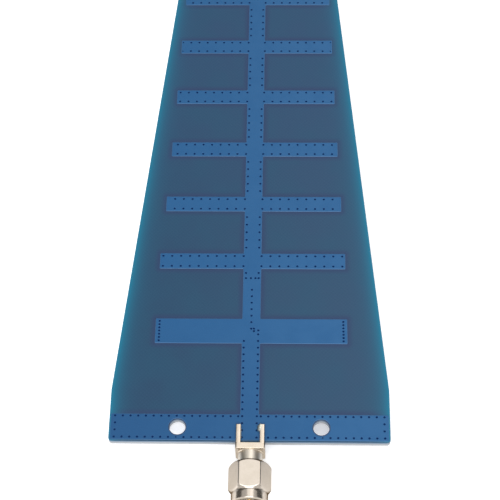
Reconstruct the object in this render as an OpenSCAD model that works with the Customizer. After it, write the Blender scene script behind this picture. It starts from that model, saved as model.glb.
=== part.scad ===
// Printed-circuit Yagi antenna with an edge-mounted coaxial plug.
// X runs across the board, +Y points from the plug to the board's tip, +Z is up.
// The origin is midway between the two mounting holes, on the underside of the laminate.

/* [Board] */
// Width of the board at its rear, where its sides are parallel
board_w = 60; // [50:0.5:75]
// Width of the board at its tip
tip_w = 36.6; // [20:0.1:48]
// Length of the board
board_l = 140; // [138:0.5:170]
// Length of the parallel stretch before the sides begin to taper
straight_l = 12; // [8:0.5:20]
// Thickness of the laminate
board_t = 1.6; // [0.8:0.1:2.4]
// Radius of the board's corners
corner_r = 0.8; // [0.3:0.1:3]

/* [Mounting holes] */
// Distance between the two mounting holes
hole_pitch = 30.7; // [20:0.1:44]
// Diameter of each mounting hole
hole_d = 3.5; // [2:0.1:4]
// Distance from the board's rear edge to the holes' centres
hole_edge = 3.3; // [2.8:0.1:3.6]
// Width of the bare ring between each mounting hole and the copper round it
hole_ring = 0.2; // [0.16:0.02:0.4]

/* [Copper] */
// Thickness of each copper layer with its solder mask
copper_t = 0.07; // [0.04:0.01:0.15]
// Distance from the copper to the board's rear edge and sides
copper_inset = 0.3; // [0.1:0.1:0.6]
// Width of the reflector, along the board
reflector_w = 6; // [5.6:0.1:8]
// Length of the driven element, across the board
driven_l = 42.4; // [36:0.1:46]
// Width of the driven element, along the board
driven_w = 6.1; // [4:0.1:8]
// Distance from the board's rear edge to the middle of the driven element
driven_y = 26.25; // [22:0.25:30]
// Distance from the board's rear edge to the middle of the first director
first_director_y = 44; // [42:0.25:46]
// Distance from one director to the next
director_pitch = 15.24; // [12:0.01:15.5]
// Width of each director, along the board
director_w = 4; // [2:0.1:6]
// Width of the boom that joins the elements
boom_w = 4; // [3.4:0.1:6]

/* [Feed] */
// Width of the feed line on the underside
feed_w = 1.9; // [1:0.1:2.2]
// Gap between the feed line and the ground beside it
feed_gap = 0.3; // [0.2:0.05:0.5]

/* [Plated holes] */
// Diameter of the plated holes
via_d = 0.35; // [0.3:0.05:0.5]
// Distance from the copper's rear edge to the first plated hole beside the feed line
feed_via_inset = 0.66; // [0.5:0.02:1]
// Distance between plated holes along the feed line
feed_via_pitch = 1.632; // [1.4:0.001:2.2]
// Distance from the midline to each row of plated holes beside the feed line
feed_via_x = 1.57; // [1.5:0.01:1.7]
// Distance between the last two plated holes of the right-hand row
end_via_pitch = 0.98; // [0.8:0.02:1.6]
// Distance between the three plated holes that tie the feed line to the driven element
joint_via_step = 0.6; // [0.5:0.05:0.8]
// Distance between the plated holes at each end of the driven element
driven_via_pitch = 0.8; // [0.7:0.05:0.9]
// Distance from the edges of the driven element to the plated holes near them
driven_via_inset = 0.85; // [0.5:0.05:1.5]

/* [Plug body] */
// Distance from the middle of the board to the plug's axis, to the right
plug_x = 0.25; // [-0.5:0.05:0.5]
// Gap between the board's rear edge and the plug's flange
plug_gap = 0.45; // [0:0.05:0.8]
// Width of the flange
flange_w = 6.35; // [6.2:0.05:8]
// Thickness of the flange
flange_t = 1.4; // [1:0.05:2.5]
// Radius of the flange's corners
flange_r = 0.3; // [0.1:0.05:0.6]
// Width of each leg
leg_w = 1.02; // [0.8:0.01:1.2]
// Height of each leg
leg_h = 0.9; // [0.6:0.05:1.4]
// Distance that the legs reach over the board
leg_reach = 3.7; // [2.5:0.1:4.5]
// Distance between the outer faces of two legs
leg_span = 6.05; // [5.8:0.05:6.15]
// Diameter of the neck that the nut turns on
neck_d = 5.3; // [5.1:0.05:5.35]
// Diameter of the shell that enters the mating socket
shell_d = 4.59; // [4.5:0.01:4.6]
// Diameter of the groove that holds the snap ring
ring_groove_d = 4.7; // [4.6:0.05:4.8]

/* [Contact and insulator] */
// Diameter of the insulator
insulator_d = 4.1; // [3.9:0.01:4.13]
// Diameter of the contact inside the insulator
contact_d = 1.27; // [1:0.01:1.4]
// Diameter of the contact's pin
pin_d = 0.914; // [0.9:0.001:0.94]
// Distance that the pin stands out of the insulator
pin_l = 2; // [1.5:0.1:2.2]
// Diameter of the contact's tail under the board
tail_d = 0.76; // [0.6:0.02:0.9]
// Distance that the tail reaches under the board
tail_reach = 2.6; // [1.5:0.1:4]

/* [Coupling nut] */
// Distance between opposite flats of the nut
nut_af = 8; // [7.9:0.05:8.5]
// Length of the nut
nut_l = 9; // [8.9:0.1:9.6]
// Distance from the board's rear edge to the back of the nut
nut_back = 4.1; // [3.6:0.1:4.3]
// Diameter of the round collar at the mouth of the nut
collar_d = 7.84; // [7.6:0.02:7.88]
// Length of the round collar
collar_l = 2.2; // [1.5:0.1:3]
// Length of the tapered stretch behind the collar
taper_l = 1.45; // [1:0.05:2]
// Length of the domed stretch at the back of the nut
dome_l = 1.3; // [1:0.1:2]
// Diameter of the flat ring at the back of the nut
dome_d = 5.9; // [5.7:0.1:6.4]
// Radius of the dome's curve
dome_r = 4; // [3:0.5:8]
// Diameter of the threaded bore, at the crests of the thread
thread_d = 5.7; // [5.6:0.01:5.82]
// Length of the nut's web behind the snap ring
web_l = 1.7; // [1.2:0.1:2]
// Size of the chamfer at the mouth of the nut
mouth_c = 0.25; // [0.1:0.05:0.4]

/* [Snap ring and gasket] */
// Outer diameter of the snap ring
ring_d = 6.1; // [5.9:0.05:6.2]
// Thickness of the snap ring
ring_t = 0.5; // [0.4:0.05:0.6]
// Angle of the opening in the snap ring
ring_gap_a = 35; // [15:5:60]
// Outer diameter of the gasket
gasket_d = 5.5; // [5.2:0.05:5.56]
// Thickness of the gasket
gasket_t = 0.8; // [0.6:0.1:1]
// Distance from the face of the gasket to the end of the shell
shell_l = 1.7; // [1.5:0.05:1.9]
// Distance from the end of the pin to the mouth of the nut
pin_recess = 0.5; // [0.3:0.1:1]

/* [Solder] */
// Size of the solder fillet beside each leg and beside the tail
solder_r = 0.25; // [0.15:0.05:0.35]
// Size of the larger solder fillet inside the upper right leg
blob_r = 0.6; // [0.3:0.05:0.65]
// Length of the solder fillets
solder_l = 1.7; // [1:0.1:2.4]

/* [Clearances] */
// Running clearance between the nut and what it turns on, all round
run_clear = 0.06; // [0.03:0.01:0.09]
// Clearance all round between pieces that are pushed together
push_clear = 0.015; // [0.01:0.005:0.03]
// Clearance beside the snap ring in its grooves
ring_clear = 0.08; // [0.05:0.01:0.1]

/* [Hidden] */
$fn = 64;

// Distance that a cut starts before and ends after what it cuts
past = 1;

// Lengths of the directors across the board, from the first to the last
DIRECTORS = [42, 40.5, 39.2, 38.1, 37.15, 36.1, 35.2];

// The plug's axis lies a tail's radius under the lower copper
axis_z = -copper_t - tail_d / 2;
leg_x = (leg_span - leg_w) / 2;
leg_z = board_t + copper_t;
flange_h = 2 * (leg_z + leg_h - axis_z);

// Stations along the plug's axis, measured forward from the board's rear edge
flange_s = plug_gap;
neck_s = plug_gap + flange_t;
nut_front = nut_back + nut_l;
pin_s = nut_front - pin_recess;
shell_s = pin_s - pin_l;
gasket_s = shell_s - shell_l - gasket_t;
web_s = nut_back + web_l;
ring_s = web_s + ring_clear;
ring_room = ring_t + 2 * ring_clear;
corner_to_corner = nut_af / cos(30);

// Places along the board, measured from its rear edge
driven_edge = driven_y - driven_w / 2;
last_director_y = first_director_y + (len(DIRECTORS) - 1) * director_pitch;
boom_end = last_director_y + director_w / 2;
reflector_l = board_w - 2 * copper_inset;
ground_x = feed_w / 2 + feed_gap;
feed_via_y = copper_inset + feed_via_inset;
feed_vias = floor((driven_edge + feed_via_inset - feed_via_y) / feed_via_pitch) + 1;
driven_vias = floor(driven_w / driven_via_pitch) - 1;
boom_via_y = driven_y + driven_w / 2 - driven_via_inset;
boom_vias = floor((first_director_y - 1.5 * director_w - boom_via_y) / feed_via_pitch) + 1;

// Moves a flat shape from the board's rear edge to the model's frame
module on_board() { translate([0, -hole_edge]) children(); }

// Puts a shape along the plug's axis, with its Z running forward from the board's rear edge
module on_plug() { translate([plug_x, -hole_edge, axis_z]) rotate([90, 0, 0]) children(); }

// A rectangle centred on the midline, from one distance along the board to another
module strip(w, from, to) { translate([-w / 2, from]) square([w, to - from]); }

// A rectangle between two distances from the midline, to the right
module side_strip(x1, x2, from, to) { translate([x1, from]) square([x2 - x1, to - from]); }

module mounting_holes(d) {
    for (side = [-1, 1]) translate([side * hole_pitch / 2, hole_edge]) circle(d = d);
}

// The board's outline: parallel sides, then an even taper to the tip, with small round corners
module board_outline() {
    w = board_w / 2;
    t = tip_w / 2;
    slope = atan((w - t) / (board_l - straight_l));
    union() {
        polygon([[-w + corner_r, 0], [w - corner_r, 0], [w, corner_r], [w, straight_l],
                 [t, board_l - corner_r], [t - corner_r, board_l], [-t + corner_r, board_l],
                 [-t, board_l - corner_r], [-w, straight_l], [-w, corner_r]]);
        for (side = [-1, 1]) {
            translate([side * (w - corner_r), corner_r]) circle(r = corner_r, $fn = 32);
            translate([side * (t - corner_r + corner_r * sin(slope)), board_l - corner_r])
                circle(r = corner_r, $fn = 32);
        }
    }
}

// Plated holes: a row on each side of the feed line, one at each end of the driven element,
// one up the middle of the boom, and those that tie the feed line to the driven element
module plated_holes() {
    for (side = [-1, 1], i = [0:feed_vias - 1])
        translate([side * feed_via_x, feed_via_y + i * feed_via_pitch]) via();
    for (i = [0, 1])
        translate([feed_via_x, feed_via_y + feed_vias * feed_via_pitch + i * end_via_pitch]) via();
    for (side = [-1, 1], i = [0:driven_vias])
        translate([side * (driven_l / 2 - driven_via_inset),
                   driven_y + (i - driven_vias / 2) * driven_via_pitch]) via();
    for (i = [0:boom_vias - 1])
        translate([0, boom_via_y + i * feed_via_pitch]) via();
    for (place = [[0, 1], [1, 1], [1, 0]])
        translate([0, driven_y] + joint_via_step * place) via();
}
module via() { circle(d = via_d, $fn = 8); }

// Element outlines shared by the two copper layers
module reflector_outline() { strip(reflector_l, copper_inset, copper_inset + reflector_w); }
module driven_outline() { strip(driven_l, driven_edge, driven_edge + driven_w); }
module directors_outline() {
    for (i = [0:len(DIRECTORS) - 1]) {
        middle = first_director_y + i * director_pitch;
        strip(DIRECTORS[i], middle - director_w / 2, middle + director_w / 2);
    }
}

// Extrudes a flat shape into the lower copper layer
module lower_layer() {
    color([0.21, 0.40, 0.59]) translate([0, 0, -copper_t]) linear_extrude(copper_t) on_board() difference() {
        union() children();
        mounting_holes(hole_d + 2 * hole_ring);
        plated_holes();
    }
}

module laminate() {
    color([0.24, 0.35, 0.46]) linear_extrude(board_t) on_board() difference() {
        board_outline();
        mounting_holes(hole_d);
        plated_holes();
    }
}

// The upper copper is one etched sheet: boom, reflector, driven element and directors
module top_copper() {
    color([0.23, 0.42, 0.62]) translate([0, 0, board_t]) linear_extrude(copper_t) on_board() difference() {
        union() {
            strip(boom_w, copper_inset, boom_end);
            reflector_outline();
            driven_outline();
            directors_outline();
        }
        mounting_holes(hole_d + 2 * hole_ring);
        plated_holes();
    }
}

// Ground on one side of the feed line, drawn on the right: half reflector and side strip
module ground_outline() {
    side_strip(ground_x, reflector_l / 2, copper_inset, copper_inset + reflector_w);
    side_strip(ground_x, boom_w / 2, copper_inset, driven_edge + driven_w);
}

// The left ground carries the left half of the driven element
module ground_left() {
    lower_layer() mirror([1, 0]) {
        ground_outline();
        side_strip(ground_x, driven_l / 2, driven_edge, driven_edge + driven_w);
    }
}

// The right ground stops short of the driven element
module ground_right() {
    lower_layer() difference() {
        ground_outline();
        side_strip(0, driven_l, driven_edge - feed_gap, board_l);
    }
}

// The feed line runs up the middle and turns into the right half of the driven element
module feed_line() {
    lower_layer() {
        strip(feed_w, copper_inset, driven_edge + driven_w);
        side_strip(0, driven_l / 2, driven_edge, driven_edge + driven_w);
    }
}

// Directors and boom on the underside, back to back with the upper ones
module lower_directors() {
    lower_layer() {
        strip(boom_w, driven_edge + driven_w + feed_gap, boom_end);
        directors_outline();
    }
}

// Rounded rectangle about the plug's axis
module flange_outline() {
    hull() for (x = [-1, 1], y = [-1, 1])
        translate([x * (flange_w / 2 - flange_r), y * (flange_h / 2 - flange_r)])
            circle(r = flange_r, $fn = 24);
}

// Turned and milled body: flange, four legs, neck, ring groove and front shell, in one piece
module plug_body() {
    color([0.93, 0.86, 0.74]) {
        on_plug() difference() {
            union() {
                translate([0, 0, flange_s]) linear_extrude(flange_t) flange_outline();
                translate([0, 0, neck_s]) cylinder(d = neck_d, h = gasket_s - neck_s);
                translate([0, 0, gasket_s]) cylinder(d = shell_d, h = shell_s - gasket_s);
            }
            translate([0, 0, flange_s - past]) cylinder(d = insulator_d + 2 * push_clear, h = nut_front);
            translate([0, 0, web_s]) difference() {
                cylinder(d = neck_d + past, h = ring_room);
                translate([0, 0, -past]) cylinder(d = ring_groove_d, h = ring_room + 2 * past);
            }
        }
        for (side = [-1, 1], z = [leg_z, -copper_t - leg_h])
            translate([plug_x + side * leg_x - leg_w / 2, -hole_edge - flange_s, z])
                cube([leg_w, leg_reach + flange_s, leg_h]);
    }
}

module insulator() {
    color([0.95, 0.95, 0.93]) on_plug() difference() {
        translate([0, 0, flange_s]) cylinder(d = insulator_d, h = shell_s - flange_s);
        translate([0, 0, flange_s - past]) cylinder(d = contact_d + 2 * push_clear, h = nut_front);
    }
}

// Contact: tail under the board, stout middle in the insulator, slim pin with a tapered end
module centre_contact() {
    tip_l = 0.3;
    color([0.87, 0.72, 0.40]) on_plug() union() {
        translate([0, 0, -tail_reach]) cylinder(d = tail_d, h = tail_reach + flange_s);
        translate([0, 0, flange_s]) cylinder(d = contact_d, h = shell_s - flange_s);
        translate([0, 0, shell_s]) cylinder(d = pin_d, h = pin_l - tip_l);
        translate([0, 0, pin_s - tip_l]) cylinder(d1 = pin_d, d2 = pin_d / 2, h = tip_l);
    }
}

// Points on an arc of radius r from p to q, bulging to the left of the way from p to q
function arc(p, q, r, n) =
    let (v = q - p, c = norm(v), h = sqrt(r * r - c * c / 4),
         m = (p + q) / 2 + h * [v[1], -v[0]] / c,
         a = atan2(p[1] - m[1], p[0] - m[0]),
         sweep = 2 * asin(c / 2 / r))
    [for (i = [0:n]) m + r * [cos(a - sweep * i / n), sin(a - sweep * i / n)]];

// Half section of the turned nut, as distance from the axis and distance from its back
function nut_section() =
    let (spare = 0.1, over = corner_to_corner / 2 + spare, taper_s = nut_l - collar_l - taper_l,
         dome = [for (p = arc([0, dome_d / 2], [dome_l, over], dome_r, 8)) [p[1], p[0]]])
    concat([[0, 0]], dome,
           [[over, taper_s], [collar_d / 2, nut_l - collar_l], [collar_d / 2, nut_l], [0, nut_l]]);

// Coupling nut: a hexagon turned to a dome behind and a round collar in front, bored through
module coupling_nut() {
    mouth_cut = mouth_c + run_clear;
    color([0.88, 0.85, 0.80]) on_plug() translate([0, 0, nut_back]) difference() {
        intersection() {
            cylinder(d = corner_to_corner, h = nut_l, $fn = 6);
            rotate_extrude() polygon(nut_section());
        }
        translate([0, 0, -past]) cylinder(d = neck_d + 2 * run_clear, h = nut_l);
        translate([0, 0, web_l]) cylinder(d = ring_d + 2 * ring_clear, h = ring_room);
        translate([0, 0, web_l]) cylinder(d = thread_d, h = nut_l);
        translate([0, 0, nut_l - mouth_c])
            cylinder(d1 = thread_d, d2 = thread_d + 2 * mouth_cut, h = mouth_cut);
    }
}

// Split ring in the groove of the body, which keeps the nut on
module snap_ring() {
    color([0.80, 0.66, 0.36]) on_plug() translate([0, 0, ring_s]) rotate([0, 0, ring_gap_a / 2 - 90])
        rotate_extrude(angle = 360 - ring_gap_a)
            translate([ring_groove_d / 2 + push_clear, 0])
                square([(ring_d - ring_groove_d) / 2 - push_clear, ring_t]);
}

module gasket() {
    color([0.75, 0.25, 0.20]) on_plug() translate([0, 0, gasket_s]) difference() {
        cylinder(d = gasket_d, h = gasket_t);
        translate([0, 0, -past]) cylinder(d = shell_d + 2 * push_clear, h = gasket_t + 2 * past);
    }
}

// Section of a hollow fillet in the corner between a leg and the board, opening to the right
module fillet_outline(r) {
    hollow = 0.9;
    difference() {
        square([r, r]);
        translate([r, r]) circle(r = hollow * r, $fn = 32);
    }
}

// A fillet along the inner face of a leg, from its end back towards the flange
module leg_fillet(side, upper, r) {
    face_x = plug_x + side * (leg_x - leg_w / 2);
    face_z = upper ? leg_z : -copper_t;
    translate([face_x, leg_reach - hole_edge, face_z]) mirror([side > 0 ? 1 : 0, 0, 0])
        mirror([0, 0, upper ? 0 : 1]) rotate([90, 0, 0]) linear_extrude(solder_l) fillet_outline(r);
}

module solder_upper_left() { color([0.78, 0.78, 0.76]) leg_fillet(-1, true, solder_r); }
module solder_upper_right() { color([0.78, 0.78, 0.76]) leg_fillet(1, true, blob_r); }
module solder_lower_left() { color([0.78, 0.78, 0.76]) leg_fillet(-1, false, solder_r); }
module solder_lower_right() { color([0.78, 0.78, 0.76]) leg_fillet(1, false, solder_r); }

// Solder round the tail: a low mound on the feed line that the tail lies in
module solder_tail() {
    mound_w = tail_d + 2 * solder_r;
    color([0.78, 0.78, 0.76]) translate([plug_x, tail_reach - solder_r - hole_edge, -copper_t])
        rotate([90, 0, 0]) linear_extrude(solder_l) difference() {
            polygon([[-mound_w / 2, 0], [mound_w / 2, 0], [tail_d / 2 + push_clear, -tail_d / 2],
                     [-tail_d / 2 - push_clear, -tail_d / 2]]);
            translate([0, -tail_d / 2]) circle(d = tail_d + 2 * push_clear);
        }
}

laminate();
top_copper();
ground_left();
ground_right();
feed_line();
lower_directors();
plug_body();
insulator();
centre_contact();
coupling_nut();
snap_ring();
gasket();
solder_upper_left();
solder_upper_right();
solder_lower_left();
solder_lower_right();
solder_tail();
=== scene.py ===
"""A printed-circuit Yagi antenna with an edge-mounted coaxial plug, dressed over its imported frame.

Lengths are millimetres until a mesh is made. "Along" is the distance from the board's rear edge
towards its tip, and "station" is the distance from that edge forward along the plug's axis.
"""
import math

import bmesh
import bpy
from mathutils import Matrix, Vector, geometry, noise


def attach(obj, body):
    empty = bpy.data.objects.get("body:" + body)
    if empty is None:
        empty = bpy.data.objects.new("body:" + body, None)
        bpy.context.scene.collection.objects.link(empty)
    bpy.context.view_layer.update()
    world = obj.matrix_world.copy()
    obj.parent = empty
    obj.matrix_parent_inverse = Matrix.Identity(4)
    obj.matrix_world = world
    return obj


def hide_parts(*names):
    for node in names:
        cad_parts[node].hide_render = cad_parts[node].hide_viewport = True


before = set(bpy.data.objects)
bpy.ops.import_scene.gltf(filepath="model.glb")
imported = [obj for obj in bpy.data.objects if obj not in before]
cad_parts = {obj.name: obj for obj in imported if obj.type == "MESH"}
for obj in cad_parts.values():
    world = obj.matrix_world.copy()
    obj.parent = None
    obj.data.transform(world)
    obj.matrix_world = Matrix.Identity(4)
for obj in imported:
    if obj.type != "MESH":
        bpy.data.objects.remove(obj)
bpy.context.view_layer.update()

MM = 0.001

# Board
BOARD_W = 60
TIP_W = 36.6
BOARD_L = 140
STRAIGHT_L = 12
BOARD_T = 1.6
HOLE_EDGE = 3.3
HOLE_PITCH = 30.7
HOLE_D = 3.5
HOLE_RING = 0.2

# Copper
COPPER_T = 0.07
INSET = 0.3
REFLECTOR_L = BOARD_W - 2 * INSET
REFLECTOR_W = 6
DRIVEN_L = 42.4
DRIVEN_W = 6.1
DRIVEN_Y = 26.25
FIRST_DIRECTOR_Y = 44
DIRECTOR_PITCH = 15.24
DIRECTOR_W = 4
DIRECTORS = [42, 40.5, 39.2, 38.1, 37.15, 36.1, 35.2]
BOOM_W = 4
BOOM_END = FIRST_DIRECTOR_Y + (len(DIRECTORS) - 1) * DIRECTOR_PITCH + DIRECTOR_W / 2
FEED_W = 1.9
FEED_GAP = 0.3

# Bars across the board, as distance from the midline to the end, and from where to where along it
REFLECTOR_BAR = (REFLECTOR_L / 2, INSET, INSET + REFLECTOR_W)
DRIVEN_BAR = (DRIVEN_L / 2, DRIVEN_Y - DRIVEN_W / 2, DRIVEN_Y + DRIVEN_W / 2)
DIRECTOR_PLACES = [(length, FIRST_DIRECTOR_Y + i * DIRECTOR_PITCH) for i, length in enumerate(DIRECTORS)]
DIRECTOR_BARS = [(length / 2, middle - DIRECTOR_W / 2, middle + DIRECTOR_W / 2)
                 for length, middle in DIRECTOR_PLACES]

# Plated holes: rows in the reflector, beside the feed line, at the ends of the driven element, up the
# middle of the boom, across its narrow end, and along the directors and the boom between them
VIA_R = 0.2
VIA_SIDES = 12
REFLECTOR_ROWS = (0.96, 5.83)
REFLECTOR_FROM, REFLECTOR_STEP, REFLECTOR_COUNT = 4.03, 1.652, 16
REFLECTOR_INNER = 2.43
REFLECTOR_END, REFLECTOR_END_ROWS = 28.75, (2.6, 4.2)
FEED_ROW, FEED_STEP, FEED_COUNT = 1.57, 1.632, 15
JOINT_HOLES = [(FEED_ROW, 25.44), (FEED_ROW, 26.42), (0, 26.85), (0.6, 26.85), (0.6, DRIVEN_Y)]
DRIVEN_INSET, DRIVEN_STEP, DRIVEN_COUNT = 0.85, 0.8, 7
MIDDLE_FROM, MIDDLE_COUNT = 28.45, 6
BOOM_PAIR = (1.43, 40.93)
BOOM_CROSS = [(x, 39.6) for x in (-1.4, -0.28, 0.73, 1.46)]
DIRECTOR_ROW, BOOM_ROW, DIRECTOR_STEP, BOOM_COUNT = 1.31, 1.47, 2.032, 5
ROW_SPARE = 0.25
END_MARGIN = 0.4

# Edge of the mask over the copper, as distance inwards and height, and corners seen from above
MASK_EDGE = ((0.015, 0.014), (0.1, 0.064), (0.13, COPPER_T))
LOWER_EASE = 0.5
FOIL_CORNER_R = 0.18

# Well of a plated hole, as shares of its radius and depths under the mask
WELL_LIP, WELL_SOFT, WELL_WALL = 1.45, 1.3, 0.9
SOFT_DEEP, WALL_DEEP, WELL_DEEP = 0.018, 0.05, 0.06
SMALL_WELL = 0.7

# Plug
PLUG_X = 0.25
TAIL_D = 0.76
AXIS_Z = -COPPER_T - TAIL_D / 2
FLANGE_S = 0.45
FLANGE_T = 1.4
FLANGE_W = 6.35
FLANGE_R = 0.35
LEG_W = 1.02
LEG_H = 0.9
LEG_REACH = 3.7
LEG_SPAN = 6.05
LEG_X = (LEG_SPAN - LEG_W) / 2
LEG_Z = BOARD_T + COPPER_T
FLANGE_H = 2 * (LEG_Z + LEG_H - AXIS_Z)
EDGE_EASE = 0.12
INTO_FLANGE = 0.2
NECK_S = FLANGE_S + FLANGE_T
NECK_D = 5.3
SHELL_D = 4.59
SHELL_END = 10.6
GROOVE_D = 4.7
GROOVE_L = 0.66
GASKET_S = 8.1
INSULATOR_D = 4.13

# Coupling nut, its stations measured from its back
NUT_BACK = 4.1
NUT_L = 9
NUT_AF = 8
NUT_CORNER_R = 0.4
NUT_SOFT = 0.08
DOME_L, DOME_D, DOME_R = 1.3, 5.9, 4.0
COLLAR_L, COLLAR_D, TAPER_L = 2.3, 7.84, 0.8
COLLAR_S = NUT_L - COLLAR_L
TAPER_S = COLLAR_S - TAPER_L
COVE_L, COVE_DEEP = 0.42, 0.07
LIP_R = 0.22
OVER_CORNERS = NUT_AF / 2 / math.cos(math.radians(30)) + 0.1
WEB_L = 1.7
RING_ROOM_D = 6.26
RUN_CLEAR = 0.07
THREAD_D = 5.7
THREAD_PITCH = 25.4 / 36
THREAD_DEEP = 0.3
THREAD_RUNOUT = 0.5
ROWS_PER_TURN = 10
MOUTH_C = 0.25

# Solder
TAIL_FROM, TAIL_TO = 0.55, 2.42
HOLLOW_SECTION = [(-0.05, -0.01), (1.0, -0.01), (0.62, 0.08), (0.34, 0.22), (0.18, 0.42), (0.06, 0.7),
                  (0.0, 1.0), (-0.05, 1.0)]
CLIMBING_SECTION = [(-0.05, -0.01), (1.0, -0.01), (0.94, 0.17), (0.85, 0.49), (0.72, 0.8), (0.48, 1.06),
                    (0.1, 1.21), (-0.3, 1.25), (-0.65, 1.22), (-0.84, 1.14), (-0.84, 1.05), (-0.05, 1.05)]
LAP_FROM = 1.1


# Node trees

class Nodes:
    """Adds nodes to a node tree. A value may be a number or another node's socket."""

    def __init__(self, tree):
        self.tree = tree

    def add(self, kind, inputs=None, **settings):
        node = self.tree.nodes.new(kind)
        for key, value in settings.items():
            setattr(node, key, value)
        for key, value in (inputs or {}).items():
            if isinstance(value, bpy.types.NodeSocket):
                self.tree.links.new(value, node.inputs[key])
            else:
                node.inputs[key].default_value = value
        return node

    def math(self, operation, *values):
        return self.add("ShaderNodeMath", dict(enumerate(values)), operation=operation).outputs[0]

    def length(self, a, b):
        """Length of a vector with the parts a and b."""
        squares = self.math("ADD", self.math("MULTIPLY", a, a), self.math("MULTIPLY", b, b))
        return self.math("SQRT", squares)

    def split(self, vector):
        return self.add("ShaderNodeSeparateXYZ", {0: vector}).outputs

    def span(self, value, low, high, to_low=0.0, to_high=1.0):
        """value from low..high to to_low..to_high, held at both ends."""
        return self.add("ShaderNodeMapRange", {0: value, 1: low, 2: high, 3: to_low, 4: to_high},
                        interpolation_type="SMOOTHSTEP").outputs[0]

    def blend(self, factor, first, second):
        """A number between two numbers."""
        return self.add("ShaderNodeMix", {0: factor, 2: first, 3: second}).outputs[0]

    def mix(self, factor, first, second):
        """A colour between two colours."""
        first, second = (value if isinstance(value, bpy.types.NodeSocket) else (*value, 1)
                         for value in (first, second))
        return self.add("ShaderNodeMix", {0: factor, 6: first, 7: second}, data_type="RGBA").outputs[2]


class Look(Nodes):
    """A material whose colour, roughness and bump come from nodes."""

    def __init__(self, name, **shader_values):
        self.material = bpy.data.materials.new(name)
        self.material.use_nodes = True
        super().__init__(self.material.node_tree)
        self.shader = self.tree.nodes["Principled BSDF"]
        for socket, value in shader_values.items():
            self.shader.inputs[socket.replace("_", " ")].default_value = value
        self.where = self.add("ShaderNodeTexCoord").outputs["Object"]

    def axes(self):
        """Object coordinates in millimetres."""
        return [self.math("MULTIPLY", out, 1 / MM) for out in self.split(self.where)]

    def plug_axes(self):
        """Distance from the plug's axis, and station along it, in millimetres."""
        x, y, z = self.axes()
        far = self.length(self.math("SUBTRACT", x, PLUG_X), self.math("SUBTRACT", z, AXIS_Z))
        return far, self.math("SUBTRACT", -HOLE_EDGE, y)

    def levelness(self):
        """1 where the surface faces straight up or down, 0 where it stands upright."""
        normal = self.add("ShaderNodeNewGeometry").outputs["Normal"]
        return self.math("ABSOLUTE", self.split(normal)[2])

    def noise(self, scale, detail=2.0, stretch=None):
        """Noise about 0 to 1, with that many features a millimetre."""
        where = self.where
        if stretch:
            where = self.add("ShaderNodeMapping", {"Vector": where, "Scale": stretch}).outputs[0]
        return self.add("ShaderNodeTexNoise", {"Vector": where, "Scale": scale / MM,
                                               "Detail": detail}).outputs[0]

    def feed(self, socket, value):
        """Drives one of the shader's sockets."""
        self.tree.links.new(value, self.shader.inputs[socket])

    def bump(self, height, depth, strength=1.0):
        """Bumps of that depth in millimetres, where height goes from 0 to 1."""
        previous = self.shader.inputs["Normal"].links
        node = self.add("ShaderNodeBump", {"Height": height, "Distance": depth * MM,
                                           "Strength": strength})
        if previous:
            self.tree.links.new(previous[0].from_socket, node.inputs["Normal"])
        self.feed("Normal", node.outputs[0])


def srgb(*levels):
    """Linear colour of 8-bit sRGB levels."""
    return tuple(((v / 255 + 0.055) / 1.055) ** 2.4 if v > 10 else v / 255 / 12.92 for v in levels)


# Materials

MASK_GLOSS = 0.2
WEAVE_PITCH = 0.9
FRINGE = 1.6
GLOW_REACH = 1.4
DUST_SPACING = 16
NECK_FADE = 0.4
NECK_ROUGHER = 0.12


def masked_copper():
    """Solder mask on copper: mottled, lighter to the right by painted light, darker near the rear by painted
    shade, and pale where it thins over edges, which also paints the highlight those edges catch.
    """
    look = Look("masked_copper", Roughness=0.42, IOR=1.5, Specular_IOR_Level=MASK_GLOSS)
    x, y, _ = look.axes()
    across = look.span(x, -BOARD_W / 2, BOARD_W / 2)
    blotch = look.noise(0.25, 3.0)
    grain = look.noise(6.0, 2.0)
    # Painted light: the mask is lighter towards the right.
    base = look.mix(across, (0.011, 0.081, 0.212), (0.020, 0.098, 0.240))
    base = look.mix(look.span(blotch, 0.35, 0.7, 0.0, 0.35), base, (0.007, 0.071, 0.199))
    base = look.mix(look.span(grain, 0.35, 0.75, 0.0, 0.4), base, (0.022, 0.119, 0.288))

    # Painted shade: darker near the rear edge, most on the left.
    painted_rear_shade = look.math("MULTIPLY", look.span(y, 3.0, 30.0, 0.45, 0.0),
                          look.span(x, -BOARD_W / 2, BOARD_W / 2, 1.0, 0.1))
    base = look.mix(painted_rear_shade, base, (0.009, 0.055, 0.155))
    # Pale where the mask thins over the copper's edges; this also stands for a painted highlight on them.
    thin_mask_and_highlight = look.span(look.levelness(), 0.7, 0.985, 0.55, 0.0)
    look.feed("Base Color", look.mix(thin_mask_and_highlight, base, (0.13, 0.27, 0.44)))
    look.feed("Roughness", look.span(grain, 0.3, 0.7, 0.36, 0.48))
    look.bump(look.noise(9.0, 3.0), 0.006, 0.5)
    look.bump(look.noise(0.6, 2.0), 0.02, 0.4)
    return look.material


def via_well():
    """Dark mask sagged into a plated hole: its own darker tone there, deepened by painted shade of the hole.
    """
    look = Look("via_well", Roughness=0.5, IOR=1.5, Specular_IOR_Level=0.05)
    # Near black: painted shade of the hole, on top of the mask's own tone.
    look.feed("Base Color", look.mix(look.noise(5.0), (0.0, 0.013, 0.068), (0.001, 0.021, 0.092)))
    look.bump(look.noise(14.0), 0.01, 0.6)
    return look.material


def from_sides(look, x, along):
    """Distance in from the board's tapered sides."""
    slope = (BOARD_W - TIP_W) / 2 / (BOARD_L - STRAIGHT_L)
    tapered = look.math("MAXIMUM", look.math("SUBTRACT", along, STRAIGHT_L), 0.0)
    half = look.math("SUBTRACT", BOARD_W / 2, look.math("MULTIPLY", tapered, slope))
    return look.math("SUBTRACT", half, look.math("ABSOLUTE", x))


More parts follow.
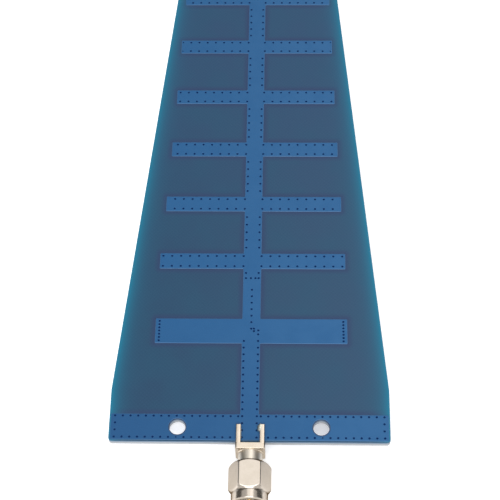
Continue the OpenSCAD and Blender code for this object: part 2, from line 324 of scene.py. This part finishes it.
def from_copper(look, x, along):
    """Distance from the upper copper: the least distance from the boom or any bar."""
    side = look.math("ABSOLUTE", x)
    nearest = None
    for reach, low, high in [(BOOM_W / 2, INSET, BOOM_END), REFLECTOR_BAR, DRIVEN_BAR, *DIRECTOR_BARS]:
        dx = look.math("MAXIMUM", look.math("SUBTRACT", side, reach), 0.0)
        off = look.math("ABSOLUTE", look.math("SUBTRACT", along, (low + high) / 2))
        dy = look.math("MAXIMUM", look.math("SUBTRACT", off, (high - low) / 2), 0.0)
        far = look.length(dx, dy)
        nearest = far if nearest is None else look.math("MINIMUM", nearest, far)
    return nearest


def laminate():
    """Solder mask on bare glass and resin, lighter to the right and towards the tip by painted light, with a
    fringe of pooled mask and painted shade beside the copper, and painted light that the glass carries in at
    the sides.
    """
    look = Look("laminate", Roughness=0.45, IOR=1.5, Specular_IOR_Level=MASK_GLOSS)
    x, y, z = look.axes()
    along = look.math("ADD", y, HOLE_EDGE)
    inwards = from_sides(look, x, along)
    nearest = from_copper(look, x, along)
    weave_x, weave_y = (look.math("SINE", look.math("MULTIPLY", axis, 2 * math.pi / WEAVE_PITCH))
                        for axis in (x, y))
    weave = look.math("MULTIPLY", weave_x, weave_y)

    # The upper face, from large shades to small
    # Painted light: lighter towards the right, and lighter and bluer towards the tip.
    base = look.mix(look.span(x, -28.0, 28.0), (0.012, 0.046, 0.099), (0.021, 0.058, 0.117))
    base = look.mix(look.span(y, 20.0, 110.0, 0.0, 0.6), base, (0.018, 0.055, 0.129))
    cloud = look.span(look.noise(0.12, 3.0), 0.3, 0.75, 0.0, 0.3)
    base = look.mix(cloud, base, (0.009, 0.069, 0.125))
    base = look.mix(look.span(weave, -1.0, 1.0, 0.0, 0.05), base, (0.06, 0.16, 0.25))
    # A darker fringe beside the copper: mask pooled against its edges, and painted shade of them.
    fringe = look.math("MULTIPLY", look.span(nearest, 0.0, FRINGE, 0.55, 0.0), look.span(along, 0.3, 0.8))
    base = look.mix(fringe, base, (0.021, 0.027, 0.092))
    dust = look.add("ShaderNodeTexVoronoi", {"Vector": look.where, "Scale": 1 / (DUST_SPACING * MM)})
    specks = look.span(dust.outputs["Distance"], 0.004, 0.009, 0.6, 0.0)
    base = look.mix(specks, base, (0.25, 0.38, 0.45))
    grain = look.span(look.noise(5.0, 3.0), 0.4, 0.8, 0.0, 0.25)
    base = look.mix(grain, base, (0.032, 0.095, 0.180))
    # Painted light that the glass carries in from the board's sides, teal near them.
    depth = look.math("MULTIPLY", look.math("MAXIMUM", inwards, 0.0), -1 / GLOW_REACH)
    base = look.mix(look.math("EXPONENT", depth), base, (0.005, 0.158, 0.262))

    # The cut edges show pale glass and resin, bluer towards the upper face
    layers = look.noise(1.2, 4.0, stretch=(0.25, 0.25, 4.0))
    core = look.mix(layers, srgb(144, 149, 154), srgb(162, 165, 169))
    core = look.mix(look.span(z, 0.3 * BOARD_T, 0.95 * BOARD_T, 0.0, 0.95), core, srgb(66, 98, 128))
    look.feed("Base Color", look.mix(look.span(look.levelness(), 0.4, 0.6), core, base))
    look.bump(look.span(weave, -1.0, 1.0), 0.01, 0.25)
    look.bump(look.noise(3.0, 3.0), 0.006, 0.5)
    return look.material


def plated(name, light, dark, rough, lines, neck=None, tint=(0.62, 0.58, 0.53)):
    """Plated brass with faint turning lines and cloudy wear. From the neck forward its colour may be
    another shade, and it is rougher there."""
    look = Look(name, Metallic=1.0, Roughness=rough, Specular_Tint=(*tint, 1.0))
    far, station = look.plug_axes()
    cloud = look.noise(0.5, 4.0)
    fine = look.noise(8.0, 3.0)
    base = look.mix(look.span(cloud, 0.35, 0.75, 0.0, 0.5), light, dark)
    worn = look.span(fine, 0.3, 0.75, rough - 0.05, rough + 0.1)
    if neck:
        base = look.mix(look.span(station, NECK_S, NECK_S + NECK_FADE), base, neck)
        worn = look.math("ADD", worn, look.span(station, NECK_S, NECK_S + NECK_FADE, 0.0, NECK_ROUGHER))
    look.feed("Base Color", base)
    look.feed("Roughness", worn)
    turns = look.math("ADD", look.math("MULTIPLY", station, lines), look.math("MULTIPLY", far, lines))
    turning = look.add("ShaderNodeTexNoise", {"W": turns, "Scale": 1.0, "Detail": 2.0},
                       noise_dimensions="1D").outputs[0]
    look.bump(turning, 0.004, 0.5)
    look.bump(fine, 0.003, 0.5)
    return look.material


def simple(name, light, dark, rough, scale, depth, **shader_values):
    """A plain finish with mottled colour and a fine surface."""
    look = Look(name, **shader_values)
    spots = look.noise(scale, 4.0)
    look.feed("Base Color", look.mix(look.span(spots, 0.3, 0.7), light, dark))
    look.feed("Roughness", look.span(look.noise(scale * 4, 2.0), 0.3, 0.7, rough - 0.06, rough + 0.06))
    look.bump(look.noise(scale * 6, 3.0), depth, 0.6)
    return look.material


COPPER = masked_copper()
WELL = via_well()
LAMINATE = laminate()
GOLD = plated("pale_gold", (0.595, 0.525, 0.44), (0.53, 0.445, 0.345), 0.22, 14.0,
              neck=(0.66, 0.61, 0.535))
NICKEL = plated("bright_nickel", (0.545, 0.49, 0.43), (0.49, 0.44, 0.375), 0.17, 18.0,
                tint=(0.08, 0.05, 0.02))
CONTACT = plated("contact_gold", srgb(242, 212, 148), srgb(224, 186, 110), 0.22, 20.0)
BRONZE = plated("spring_bronze", srgb(216, 178, 104), srgb(186, 146, 80), 0.3, 10.0)
WHITE = simple("insulator_white", srgb(243, 242, 236), srgb(232, 231, 224), 0.45, 3.0, 0.006)
RUBBER = simple("gasket_rubber", srgb(176, 62, 46), srgb(158, 50, 38), 0.62, 4.0, 0.01)
SOLDER = simple("solder", (0.68, 0.70, 0.62), (0.50, 0.52, 0.46), 0.3, 2.5, 0.02, Metallic=1.0)


# Meshes

def link(name, data):
    """An object with that data, in the scene."""
    obj = bpy.data.objects.new(name, data)
    bpy.context.scene.collection.objects.link(obj)
    return obj


def ride(mesh, smooth, body, stands_for):
    """A piece that rides on a body in place of CAD nodes, its mesh smooth up to that angle."""
    mesh.shade_smooth()
    mesh.set_sharp_from_angle(angle=math.radians(smooth))
    obj = link(mesh.name, mesh)
    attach(obj, body)
    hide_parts(*stands_for)


def piece(name, verts, faces, materials, body, stands_for, smooth, wells=(), level=()):
    """A piece from a mesh in millimetres. Faces in wells have the second material, and faces in level
    are shaded flat, so that no shade runs into them from the edges."""
    mesh = bpy.data.meshes.new(name)
    mesh.from_pydata([Vector(v) * MM for v in verts], [], faces)
    for material in materials:
        mesh.materials.append(material)
    for index in wells:
        mesh.polygons[index].material_index = 1
    work = bmesh.new()
    work.from_mesh(mesh)
    bmesh.ops.recalc_face_normals(work, faces=work.faces)
    work.to_mesh(mesh)
    work.free()
    ride(mesh, smooth, body, stands_for)
    for index in level:
        mesh.polygons[index].use_smooth = False


def circle(cx, cy, r, n):
    return [(cx + r * math.cos(2 * math.pi * i / n), cy + r * math.sin(2 * math.pi * i / n))
            for i in range(n)]


def turn(a, b, c):
    """Positive where the way a, b, c turns left."""
    return (b[0] - a[0]) * (c[1] - b[1]) - (b[1] - a[1]) * (c[0] - b[0])


def rounded(loop, r, n=4):
    """The loop with each corner replaced by an arc of radius r."""
    out = []
    for i, point in enumerate(loop):
        before, after = loop[i - 1], loop[(i + 1) % len(loop)]
        p = Vector(point)
        back = (Vector(before) - p).normalized()
        on = (Vector(after) - p).normalized()
        half = back.angle(on) / 2
        centre = p + (back + on).normalized() * r / math.sin(half)
        start = p + back * r / math.tan(half) - centre
        end = p + on * r / math.tan(half) - centre
        sweep = start.angle(end) * (1 if turn(before, point, after) > 0 else -1)
        for k in range(n + 1):
            a = sweep * k / n
            out.append(tuple(centre + Vector((start.x * math.cos(a) - start.y * math.sin(a),
                                              start.x * math.sin(a) + start.y * math.cos(a)))))
    return out


def shrunk(loop, d):
    """The anticlockwise loop moved inwards by d; a clockwise loop, round a hole, grows."""
    out = []
    for i, point in enumerate(loop):
        p, a, b = Vector(point), Vector(loop[i - 1]), Vector(loop[(i + 1) % len(loop)])
        u, v = (p - a).normalized(), (b - p).normalized()
        normal = (Vector((-u.y, u.x)) + Vector((-v.y, v.x))).normalized()
        out.append(tuple(p + normal * d / max(0.3, normal.dot(Vector((-u.y, u.x))))))
    return out


def inside(loops, point):
    """True where a point is inside the outer loop and outside the hole loops."""
    within = False
    x, y = point
    for loop in loops:
        for i in range(len(loop)):
            (x1, y1), (x2, y2) = loop[i - 1], loop[i]
            if (y1 > y) != (y2 > y) and x < x1 + (y - y1) * (x2 - x1) / (y2 - y1):
                within = not within
    return within


# Copper layers

def plated_holes():
    """Middles of all the plated holes as distance across and along the board."""
    holes = []
    for side in (-1, 1):
        for i in range(REFLECTOR_COUNT):
            for row in REFLECTOR_ROWS:
                holes.append((side * (REFLECTOR_FROM + REFLECTOR_STEP * i), row))
        holes.append((side * REFLECTOR_INNER, REFLECTOR_ROWS[1]))
        holes += [(side * REFLECTOR_END, along) for along in REFLECTOR_END_ROWS]
        holes += [(side * FEED_ROW, REFLECTOR_ROWS[0] + FEED_STEP * i) for i in range(FEED_COUNT)]
        holes += [(side * (DRIVEN_L / 2 - DRIVEN_INSET), DRIVEN_Y + DRIVEN_STEP * (i - DRIVEN_COUNT // 2))
                  for i in range(DRIVEN_COUNT)]
        holes.append((side * BOOM_PAIR[0], BOOM_PAIR[1]))
    holes += JOINT_HOLES
    holes += [(0, MIDDLE_FROM + FEED_STEP * i) for i in range(MIDDLE_COUNT)]
    holes += BOOM_CROSS
    for i, (length, middle) in enumerate(DIRECTOR_PLACES):
        for k in range(1, int((length / 2 - ROW_SPARE) / DIRECTOR_STEP) + 1):
            x = min(DIRECTOR_STEP * k, length / 2 - END_MARGIN)
            holes += [(s * x, middle + t * DIRECTOR_ROW) for s in (-1, 1) for t in (-1, 1)]
        if i < len(DIRECTORS) - 1:
            holes += [(s * BOOM_ROW, middle + DIRECTOR_PITCH / 2 + DIRECTOR_STEP * (k - BOOM_COUNT // 2))
                      for s in (-1, 1) for k in range(BOOM_COUNT)]
    return holes


HOLES = plated_holes()


def foil(name, outline, upper, mounting=()):
    """A copper layer under its solder mask: soft edges, and a small dark well at each plated hole that
    it has room for. Mounting holes are given by their distance across the board."""
    base = BOARD_T if upper else 0.0
    up = 1 if upper else -1
    ease = 1 if upper else LOWER_EASE
    loops = [rounded(outline, FOIL_CORNER_R)]
    loops += [circle(x, HOLE_EDGE, HOLE_D / 2 + HOLE_RING, 64)[::-1] for x in mounting]
    verts, faces, wells, level = [], [], [], []

    def place(points, height):
        start = len(verts)
        verts.extend((x, y - HOLE_EDGE, base + up * height) for x, y in points)
        return list(range(start, len(verts)))

    def band(first, second):
        n = len(first)
        for i in range(n):
            faces.append((first[i], first[(i + 1) % n], second[(i + 1) % n], second[i]))

    def sheet(rings):
        """Fills the first ring of placed vertices, with the other rings as holes."""
        flat, owner, spokes = [], [], []
        for number, ring in enumerate(rings):
            first = len(flat)
            flat += [Vector((verts[v][0], verts[v][1])) for v in ring]
            owner += [(number, v) for v in ring]
            spokes += [(first + i, first + (i + 1) % len(ring)) for i in range(len(ring))]
        _, _, tris, origin, _, _ = geometry.delaunay_2d_cdt(flat, spokes, [], 1, 1e-6)
        for tri in tris:
            own = [owner[origin[v][0]] for v in tri]
            numbers = {number for number, _ in own}
            if len(numbers) == 1 and numbers != {0}:
                continue
            level.append(len(faces))
            faces.append(tuple(v for _, v in own))

    tops, bottoms, clear = [], [], []
    for loop in loops:
        bottoms.append(place(loop, 0.0))
        ring = bottoms[-1]
        for inward, height in MASK_EDGE:
            eased = shrunk(loop, inward * ease)
            after = place(eased, height)
            band(ring, after)
            ring = after
        tops.append(ring)
        clear.append(eased)
    sheet(bottoms)

    rings = list(tops)
    for x, along in HOLES:
        r = next((r for r in (VIA_R, SMALL_WELL * VIA_R)
                  if all(inside(clear, p) for p in circle(x, along, WELL_LIP * r, VIA_SIDES))), None)
        if r is None:
            continue
        lip, soft, wall = (place(circle(x, along, share * r, VIA_SIDES), COPPER_T - deep) for share, deep in
                           ((WELL_LIP, 0.0), (WELL_SOFT, SOFT_DEEP), (WELL_WALL, WALL_DEEP)))
        floor = place([(x, along)], COPPER_T - WELL_DEEP)[0]
        band(lip, soft)
        mark = len(faces)
        band(soft, wall)
        faces.extend((wall[i], wall[(i + 1) % VIA_SIDES], floor) for i in range(VIA_SIDES))
        wells.extend(range(mark, len(faces)))
        rings.append(lip)
    sheet(rings)
    piece("mask_" + name, verts, faces, [COPPER, WELL], "antenna", [name], 50, wells, level)


def comb(bars, from_along):
    """Outline of a boom from one place along the board, with bars across it."""
    half = BOOM_W / 2
    right = [] if bars[0][1] <= from_along else [(half, from_along)]
    for reach, low, high in bars:
        if low > from_along:
            right.append((half, low))
        right += [(reach, low), (reach, high), (half, high)]
    right.pop()
    return right + [(-x, y) for x, y in reversed(right)]


def copper():
    """The upper sheet and the four conductors on the underside."""
    reach, _, to = REFLECTOR_BAR
    driven, driven_from, driven_to = DRIVEN_BAR
    ground, boom, feed = FEED_W / 2 + FEED_GAP, BOOM_W / 2, FEED_W / 2
    left_ground = [(ground, INSET), (reach, INSET), (reach, to), (boom, to), (boom, driven_from),
                   (driven, driven_from), (driven, driven_to), (ground, driven_to)]
    right_ground = [(ground, INSET), (reach, INSET), (reach, to), (boom, to),
                    (boom, driven_from - FEED_GAP), (ground, driven_from - FEED_GAP)]
    feed_line = [(-feed, INSET), (feed, INSET), (feed, driven_from), (driven, driven_from),
                 (driven, driven_to), (-feed, driven_to)]
    upper = comb([REFLECTOR_BAR, DRIVEN_BAR, *DIRECTOR_BARS], INSET)
    foil("top_copper", upper, True, (-HOLE_PITCH / 2, HOLE_PITCH / 2))
    foil("ground_right", right_ground, False, (HOLE_PITCH / 2,))
    foil("ground_left", [(-x, y) for x, y in reversed(left_ground)], False, (-HOLE_PITCH / 2,))
    foil("feed_line", feed_line, False)
    foil("lower_directors", comb(DIRECTOR_BARS, driven_to + FEED_GAP), False)


copper()


# Coupling nut

def on_plug(r, angle, station):
    """A point at a distance from the plug's axis, at an angle and a station."""
    return (PLUG_X + r * math.cos(angle), -HOLE_EDGE - station, AXIS_Z + r * math.sin(angle))


def soft_min(a, b, soft):
    """The lesser of two numbers, eased where they are within soft of each other."""
    h = max(soft - abs(a - b), 0) / soft
    return min(a, b) - h * h * soft / 4


def hexagon(angle):
    """Distance from the axis to a hexagon with round corners, one of its flats on top."""
    apothem, corner = NUT_AF / 2, NUT_CORNER_R
    off = (angle - math.radians(30)) % math.radians(60)
    off = min(off, math.radians(60) - off)
    if apothem * math.tan(off) <= (apothem - corner) * math.tan(math.radians(30)):
        return apothem / math.cos(off)
    far = (apothem - corner) / math.cos(math.radians(30))
    bearing = math.radians(30) - off
    return far * math.cos(bearing) + math.sqrt(corner ** 2 - (far * math.sin(bearing)) ** 2)


def turned(station):
    """Distance from the axis to the nut's turned profile, at a distance from its back."""
    if station < DOME_L:
        chord = Vector((DOME_L, OVER_CORNERS - DOME_D / 2))
        middle = Vector((DOME_L, OVER_CORNERS + DOME_D / 2)) / 2
        away = math.sqrt(DOME_R ** 2 - chord.length ** 2 / 4)
        centre = middle + Vector((chord.y, -chord.x)).normalized() * away
        return centre.y + math.sqrt(max(0.0, DOME_R ** 2 - (station - centre.x) ** 2))
    if station < TAPER_S:
        return OVER_CORNERS
    if station < COLLAR_S:
        return COLLAR_D / 2 + (OVER_CORNERS - COLLAR_D / 2) * (COLLAR_S - station) / TAPER_L
    cove = station - COLLAR_S
    if cove < COVE_L:
        return COLLAR_D / 2 - COVE_DEEP * math.sin(math.pi * cove / COVE_L)
    left = NUT_L - station
    if left < LIP_R:
        return COLLAR_D / 2 - (LIP_R - math.sqrt(max(0.0, LIP_R ** 2 - (LIP_R - left) ** 2)))
    return COLLAR_D / 2


def threaded(angle, station):
    """Distance from the axis to the thread, which fades out before the ring's groove."""
    phase = (station / THREAD_PITCH + angle / (2 * math.pi)) % 1
    wave = min(1.0, max(0.0, 1.5 * abs(2 * phase - 1) - 0.25))
    fade = min(1.0, (station - WEB_L - GROOVE_L) / THREAD_RUNOUT)
    return THREAD_D / 2 + THREAD_DEEP * wave * fade


def steps(first, length, count):
    """Even steps over a length, without its first point."""
    return [first + length * i / count for i in range(1, count + 1)]


def nut():
    """A hexagon under a turned profile, with a real helical thread inside. The mesh is a grid of rows,
    each a function from the angle to the distance from the axis, and is finest near the corners."""
    outer = [DOME_L * (i / 26) ** 1.3 for i in range(27)]
    outer += steps(DOME_L, COLLAR_S - DOME_L, 64)
    outer += steps(COLLAR_S, COVE_L, 6)
    outer += steps(COLLAR_S + COVE_L, COLLAR_L - COVE_L - LIP_R, 4)
    outer += [NUT_L - LIP_R * (1 - math.sin(math.pi / 2 * i / 6)) for i in range(1, 7)]
    rows = [(station, lambda a, s=station: soft_min(hexagon(a), turned(s), NUT_SOFT)) for station in outer]

    crest, neck, room = THREAD_D / 2, NECK_D / 2, RING_ROOM_D / 2
    rows.append((NUT_L - 0.01, lambda a: crest + MOUTH_C))
    for k in range(int((NUT_L - MOUTH_C - WEB_L - GROOVE_L) / THREAD_PITCH * ROWS_PER_TURN)):
        station = NUT_L - MOUTH_C - k * THREAD_PITCH / ROWS_PER_TURN
        rows.append((station, lambda a, s=station: threaded(a, s)))
    inner = [(crest, WEB_L + GROOVE_L + 0.03), (crest + 0.03, WEB_L + GROOVE_L), (room, WEB_L + GROOVE_L),
             (room, WEB_L), (neck + 0.1, WEB_L), (neck + RUN_CLEAR, WEB_L - 0.04),
             (neck + RUN_CLEAR, 0.12), (neck + 0.19, 0.0)]
    rows += [(station, lambda a, r=r: r) for r, station in inner]

    offsets = [0, 0.6, 1.2, 1.8, 2.5, 3.2, 4, 5, 6.5, 9, 12, 16, 20, 25, 30]
    angles = sorted({math.radians(60 * k + side * v) % (2 * math.pi)
                     for k in range(6) for v in offsets[:-1] for side in (-1, 1)}
                    | {math.radians(60 * k + offsets[-1]) for k in range(6)})
    columns = len(angles)
    verts = [on_plug(radius(a), a, NUT_BACK + station) for station, radius in rows for a in angles]
    faces = []
    for j in range(len(rows)):
        a, b = j * columns, (j + 1) % len(rows) * columns
        for i in range(columns):
            k = (i + 1) % columns
            faces.append((a + i, a + k, b + k, b + i))
    piece("nut_detail", verts, faces, [NICKEL], "nut", ["coupling_nut"], 28)


nut()


# Plug body

def skin(work, rings):
    """Faces from each ring of vertices to the next, and from the last to the first."""
    for j, ring in enumerate(rings):
        after = rings[(j + 1) % len(rings)]
        for i in range(len(ring)):
            k = (i + 1) % len(ring)
            work.faces.new((ring[i], ring[k], after[k], after[i]))


def lathe(work, points, columns=96):
    """A closed turned ring about the plug's axis, from (distance, station) points."""
    angles = [2 * math.pi * i / columns for i in range(columns)]
    skin(work, [[work.verts.new(on_plug(r, a, s)) for a in angles] for r, s in points])


def flange_edge(angle, inward):
    """Distance from the axis to the flange's rounded rectangle, moved inwards, by halving."""
    w, h = FLANGE_W / 2 - inward, FLANGE_H / 2 - inward
    c = max(0.05, FLANGE_R - inward)
    x, z = math.cos(angle), math.sin(angle)
    low, high = 0.0, 2 * w
    for _ in range(30):
        mid = (low + high) / 2
        dx, dz = max(0, abs(x) * mid - w + c), max(0, abs(z) * mid - h + c)
        if math.hypot(dx, dz) > c:
            high = mid
        else:
            low = mid
    return low


def flange(work):
    """Rounded rectangle with a bore, its outer edges eased. It has more columns at its corners."""
    corner = math.atan2(FLANGE_H / 2 - FLANGE_R, FLANGE_W / 2 - FLANGE_R)
    angles = [middle + math.radians(9) * t / 5 for t in range(-5, 6)
              for middle in (corner, math.pi - corner, math.pi + corner, 2 * math.pi - corner)]
    angles += [a for a in (math.radians(degrees) for degrees in range(0, 360, 6))
               if min(abs(a - b) for b in angles) > 0.06]
    angles.sort()

    def outer(inward, station):
        return [work.verts.new(on_plug(flange_edge(a, inward), a, station)) for a in angles]

    def bore(station):
        return [work.verts.new(on_plug(INSULATOR_D / 2, a, station)) for a in angles]

    ease, slight = EDGE_EASE, 0.3 * EDGE_EASE
    skin(work, [outer(0.0, FLANGE_S + ease), outer(0.0, NECK_S - ease), outer(slight, NECK_S - slight),
                outer(ease, NECK_S), bore(NECK_S), bore(FLANGE_S), outer(ease, FLANGE_S),
                outer(slight, FLANGE_S + slight)])


def leg(work, side, upper):
    """A square leg with eased edges, its end slightly rounded."""
    z = LEG_Z if upper else -COPPER_T - LEG_H
    length = LEG_REACH + FLANGE_S + INTO_FLANGE
    made = bmesh.ops.create_cube(work, size=1.0)["verts"]
    for v in made:
        v.co = Vector((PLUG_X + side * LEG_X + v.co.x * LEG_W,
                       LEG_REACH - HOLE_EDGE - length / 2 + v.co.y * length,
                       z + LEG_H / 2 + v.co.z * LEG_H))
    edges = list({e for v in made for e in v.link_edges})
    bmesh.ops.bevel(work, geom=edges, offset=EDGE_EASE, segments=3, profile=0.5, affect="EDGES")


def plug_body():
    """Flange, legs, and a turned neck, ring groove and shell, with small chamfers at its edges."""
    work = bmesh.new()
    flange(work)
    for side in (-1, 1):
        for upper in (True, False):
            leg(work, side, upper)
    neck, shell, groove, bore = NECK_D / 2, SHELL_D / 2, GROOVE_D / 2, INSULATOR_D / 2
    web, edge = NUT_BACK + WEB_L, 0.05
    lathe(work, [(bore, FLANGE_S + INTO_FLANGE), (neck + 0.25, NECK_S - 0.1), (neck + 0.1, NECK_S + 0.02),
                 (neck, NECK_S + 0.15), (neck, web - edge), (neck - edge, web), (groove, web),
                 (groove, web + GROOVE_L), (neck - edge, web + GROOVE_L), (neck, web + GROOVE_L + edge),
                 (neck, GASKET_S - 0.08), (neck - 0.08, GASKET_S), (shell, GASKET_S),
                 (shell, SHELL_END - 0.14), (shell - edge, SHELL_END - 0.04), (shell - 0.13, SHELL_END),
                 (bore + 0.03, SHELL_END), (bore, SHELL_END - 0.04)])
    bmesh.ops.recalc_face_normals(work, faces=work.faces)
    mesh = bpy.data.meshes.new("plug_detail")
    work.to_mesh(mesh)
    work.free()
    mesh.transform(Matrix.Scale(MM, 4))
    mesh.materials.append(GOLD)
    ride(mesh, 32, "antenna", ["plug_body"])


plug_body()


# Solder

def round_ends(t):
    """Share of the full size at a place from 0 to 1 along a piece with round ends."""
    return math.sqrt(max(0.0, 1 - abs(2 * t - 1) ** 3))


def solder(name, sections, node):
    """A closed piece through sections that have as many points each."""
    ring = len(sections[0])
    faces = []
    for j in range(len(sections) - 1):
        for i in range(ring):
            k = (i + 1) % ring
            faces.append((j * ring + i, j * ring + k, (j + 1) * ring + k, (j + 1) * ring + i))
    verts = [point for section in sections for point in section]
    faces.append(tuple(range(ring)))
    faces.append(tuple(range(len(verts) - ring, len(verts))))
    piece(name, verts, faces, [SOLDER], "antenna", [node], 60)


def fillet(place, side, upper, size, low, high, climb=False):
    """Solder in the corner between a leg and the board: hollow, uneven, and round at both ends.
    Where it climbs, it swells up the leg's inner face and laps over its top."""
    rows = 28
    face_x = PLUG_X + side * (LEG_X - LEG_W / 2)
    face_z = LEG_Z if upper else -COPPER_T
    up = 1 if upper else -1
    sections = []
    for j in range(rows + 1):
        along = low + (high - low) * (j / rows)
        ends = max(0.04, round_ends(j / rows))
        drift = 0.25 * noise.noise(Vector((along * 1.7, side * 3.1 + up, 0.5)))
        section = []
        for u, v in CLIMBING_SECTION if climb else HOLLOW_SECTION:
            wide = u * size * (ends * (1 + 2 * drift) if climb and u <= 0 else ends) * (1 + drift)
            tall = v * size * (1 - 0.1 * (1 - ends) if climb and v >= LAP_FROM else ends * (1 - 0.6 * drift))
            section.append((face_x - side * wide, along - HOLE_EDGE, face_z + up * tall))
        sections.append(section)
    solder("fillet_" + place, sections, "solder_" + place)


fillet("upper_left", -1, True, 0.07, 0.6, LEG_REACH)
fillet("upper_right", 1, True, 0.74, LEG_REACH - 1.55, LEG_REACH + 0.12, climb=True)
fillet("lower_left", -1, False, 0.3, 0.6, LEG_REACH)
fillet("lower_right", 1, False, 0.3, 0.6, LEG_REACH)


def tail_solder():
    """Solder that wets the tail and the feed line, a smooth saddle with round ends."""
    rows, across = 24, 17
    sections = []
    for j in range(rows + 1):
        ends = round_ends(j / rows)
        wide = 0.2 + 0.45 * ends
        deep = 0.16 + 0.34 * ends
        along = TAIL_FROM + (TAIL_TO - TAIL_FROM) * (j / rows)
        section = []
        for i in range(across):
            u = 2 * i / (across - 1) - 1
            drop = (1 - u * u) ** 2 * deep + 0.1 * (1 - u * u) * deep
            section.append((PLUG_X + u * wide, along - HOLE_EDGE, -COPPER_T - drop))
        sections.append(section)
    solder("tail_fillet", sections, "solder_tail")


tail_solder()

# CAD nodes that keep their own shape
for node, material in (("laminate", LAMINATE), ("insulator", WHITE), ("centre_contact", CONTACT),
                       ("snap_ring", BRONZE), ("gasket", RUBBER)):
    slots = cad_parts[node].data.materials
    slots.clear()
    slots.append(material)


# Floor and light. The floor's glow goes from the left mounting hole to the right one, and each pair of
# the studio's limits is where a change begins and ends, as parts of a direction of length 1.

FLOOR_GLOW = (0.6, 0.36)
FLOOR_SIZE = 3000
FLOOR_BELOW = 0.03
FRONT_POWER = 2.75
STRIP, CORE, GREY, FRONT, DARK, PALE = 1.57, 1.95, 0.72, 0.9, 0.13, 0.6
DARK_FROM, GREY_FROM, PALE_BELOW = (-0.3, 0.2), (0.57, 0.7), (0.0, 0.14)
STRIP_LEFT, CORE_FROM, STRIP_RIGHT, STRIP_ABOVE = (-0.26, -0.14), (0.06, 0.12), (0.34, 0.46), (0.45, 0.65)


def floor():
    """A pale floor that the nut's lower flat and the board's tip rest on."""
    nut_low = AXIS_Z - NUT_AF / 2
    nut_at = -HOLE_EDGE - NUT_BACK - DOME_L
    tip_at = BOARD_L - HOLE_EDGE
    slope = -nut_low / (tip_at - nut_at)
    look = Look("floor_white", Roughness=0.9)
    look.feed("Base Color", look.mix(look.noise(0.02, 3.0), (0.79, 0.79, 0.79), (0.81, 0.81, 0.81)))
    look.shader.inputs["Emission Color"].default_value = (1, 1, 1, 1)
    glow = look.span(look.axes()[0], -HOLE_PITCH / 2, HOLE_PITCH / 2, *FLOOR_GLOW)
    look.feed("Emission Strength", glow)
    corners = [(side * FLOOR_SIZE, end * FLOOR_SIZE) for side, end in ((-1, -1), (1, -1), (1, 1), (-1, 1))]
    mesh = bpy.data.meshes.new("floor")
    mesh.from_pydata([Vector((x, y, nut_low - FLOOR_BELOW + slope * (y - nut_at))) * MM
                      for x, y in corners], [], [(0, 1, 2, 3)])
    mesh.materials.append(look.material)
    link("floor", mesh)


def softbox(name, place, aim, width, height, power):
    """A rectangular lamp that faces a point."""
    light = bpy.data.lights.new(name, "AREA")
    light.shape = "RECTANGLE"
    light.size, light.size_y = width * MM, height * MM
    light.energy = power
    obj = link(name, light)
    obj.location = Vector(place) * MM
    obj.rotation_euler = (Vector(aim) - Vector(place)).to_track_quat("-Z", "Y").to_euler()


def studio():
    """A room of light by direction: overhead a bright strip that runs from front to back, brighter
    in its right part, with grey beside it; lower down light in front and dark beyond the tip; and
    pale below the horizon."""
    world = bpy.data.worlds.new("studio")
    world.use_nodes = True
    bpy.context.scene.world = world
    nodes = Nodes(world.node_tree)
    x, y, z = nodes.split(nodes.add("ShaderNodeTexCoord").outputs["Generated"])
    band = nodes.span(y, *DARK_FROM, FRONT, DARK)
    beside = nodes.blend(nodes.span(z, *GREY_FROM), band, GREY)
    strip = nodes.math("MULTIPLY", nodes.span(x, *STRIP_LEFT), nodes.span(x, *STRIP_RIGHT, 1.0, 0.0))
    strip = nodes.math("MULTIPLY", strip, nodes.span(z, *STRIP_ABOVE))
    upper = nodes.blend(strip, beside, nodes.span(x, *CORE_FROM, STRIP, CORE))
    background = nodes.tree.nodes["Background"]
    nodes.tree.links.new(nodes.blend(nodes.span(z, *PALE_BELOW), PALE, upper), background.inputs["Strength"])
    background.inputs["Color"].default_value = (1, 0.985, 0.965, 1)


floor()
softbox("front_softbox", (-30, -380, 560), (0, 40, 0), 560, 420, FRONT_POWER)
studio()

# Camera, from the photograph's perspective
CAMERA_AT = (8.905, -125.147, 293.335)
CAMERA_AZIMUTH = -3.2325
CAMERA_ELEVATION = 59.909
CAMERA_ROLL = -2.5526
CAMERA_LENS = 106.58
CAMERA_SENSOR = 36


def camera():
    """The camera, turned about the vertical, tilted down and rolled by those angles."""
    lens = bpy.data.cameras.new("camera")
    lens.lens = CAMERA_LENS
    lens.sensor_width = CAMERA_SENSOR
    lens.clip_start = 0.01
    lens.clip_end = 20
    az, el, roll = (math.radians(v) for v in (CAMERA_AZIMUTH, CAMERA_ELEVATION, CAMERA_ROLL))
    forward = Vector((math.sin(az) * math.cos(el), math.cos(az) * math.cos(el), -math.sin(el)))
    level = forward.cross(Vector((0, 0, 1))).normalized()
    rise = level.cross(forward)
    right = math.cos(roll) * level + math.sin(roll) * rise
    up = right.cross(forward)
    obj = link("camera", lens)
    turned_to = Matrix((right, up, -forward)).transposed().to_4x4()
    obj.matrix_world = Matrix.Translation(Vector(CAMERA_AT) * MM) @ turned_to
    bpy.context.scene.camera = obj


camera()
bpy.context.scene.view_settings.view_transform = "Standard"
